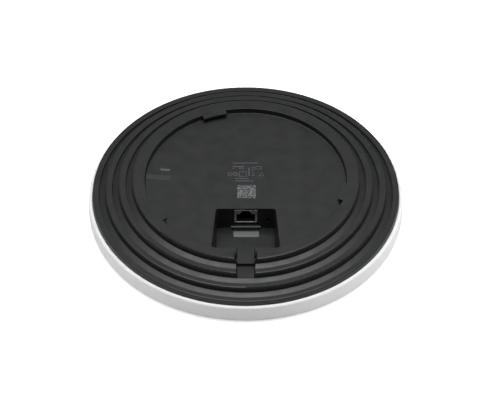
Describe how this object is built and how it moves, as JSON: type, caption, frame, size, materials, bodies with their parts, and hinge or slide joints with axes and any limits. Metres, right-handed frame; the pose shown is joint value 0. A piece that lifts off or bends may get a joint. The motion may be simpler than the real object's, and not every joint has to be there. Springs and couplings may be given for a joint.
{
  "type": "ceiling access point",
  "caption": "Round disc-shaped wireless access point for a ceiling: stepped dark back with a twist-lock pocket and a recessed network socket, white front cover.",
  "frame": {"origin": "on the axis of the disc at the outer face of the white cover, which is the lowest plane", "axes": "+Z along the disc's axis towards the ceiling, out of the mounting side; -Y towards the mouth of the network socket and the cable outlet; +X to the right of that"},
  "size_m": [0.206, 0.206, 0.0311],
  "materials": {
    "cover_white": "satin moulded polycarbonate",
    "housing_coat": "die casting under a dark matt powder coat",
    "board_green": "black solder mask on glass-fibre laminate",
    "socket_metal": "satin tinned steel sheet",
    "socket_plastic": "black moulded nylon",
    "contact_gold": "gold-plated spring wire",
    "chip_black": "matt epoxy moulding",
    "shield_metal": "tinned steel sheet",
    "pad_grey": "soft silicone pad",
    "coil_grey": "pressed ferrite powder",
    "capacitor_metal": "drawn aluminium can",
    "button_black": "black acetal",
    "led_white": "light-emitting diode in a white body",
    "guide_clear": "clear moulded acrylic",
    "screw_steel": "zinc-plated steel",
    "plate_aluminium": "stamped sheet",
    "antenna_metal": "tin-plated brass sheet",
    "holder_plastic": "natural acetal"
  },
  "bodies": {
    "access_point": {"front_cover": "cover_white", "back_housing": "housing_coat", "main_board": "board_green", "jack_shell": "socket_metal", "jack_insert": "socket_plastic", "jack_contacts": "contact_gold", "ethernet_transformer": "chip_black", "network_chip": "chip_black", "processor": "chip_black", "memory_chips": "chip_black", "flash_chip": "chip_black", "radio_chips": "chip_black", "processor_shield": "shield_metal", "radio_shields": "shield_metal", "thermal_pads": "pad_grey", "power_controller": "chip_black", "power_inductors": "coil_grey", "bulk_capacitors": "capacitor_metal", "clock_crystals": "shield_metal", "reset_switch": "socket_plastic", "status_led": "led_white", "light_guide": "guide_clear", "board_screws": "screw_steel", "plate_spacers": "contact_gold", "plate_screws": "screw_steel", "reflector_plate": "plate_aluminium", "low_band_antennas": "antenna_metal", "high_band_antennas": "antenna_metal", "antenna_holders": "holder_plastic", "antenna_feed_pins": "contact_gold"},
    "reset_button": {"reset_button": "button_black"}
  },
  "joints": [
    {"name": "reset_press", "type": "slide", "parent": "access_point", "child": "reset_button", "axis": [0, 1, 0], "range_m": [0, 0.0004], "stiffness_N_per_m": 2500}
  ]
}
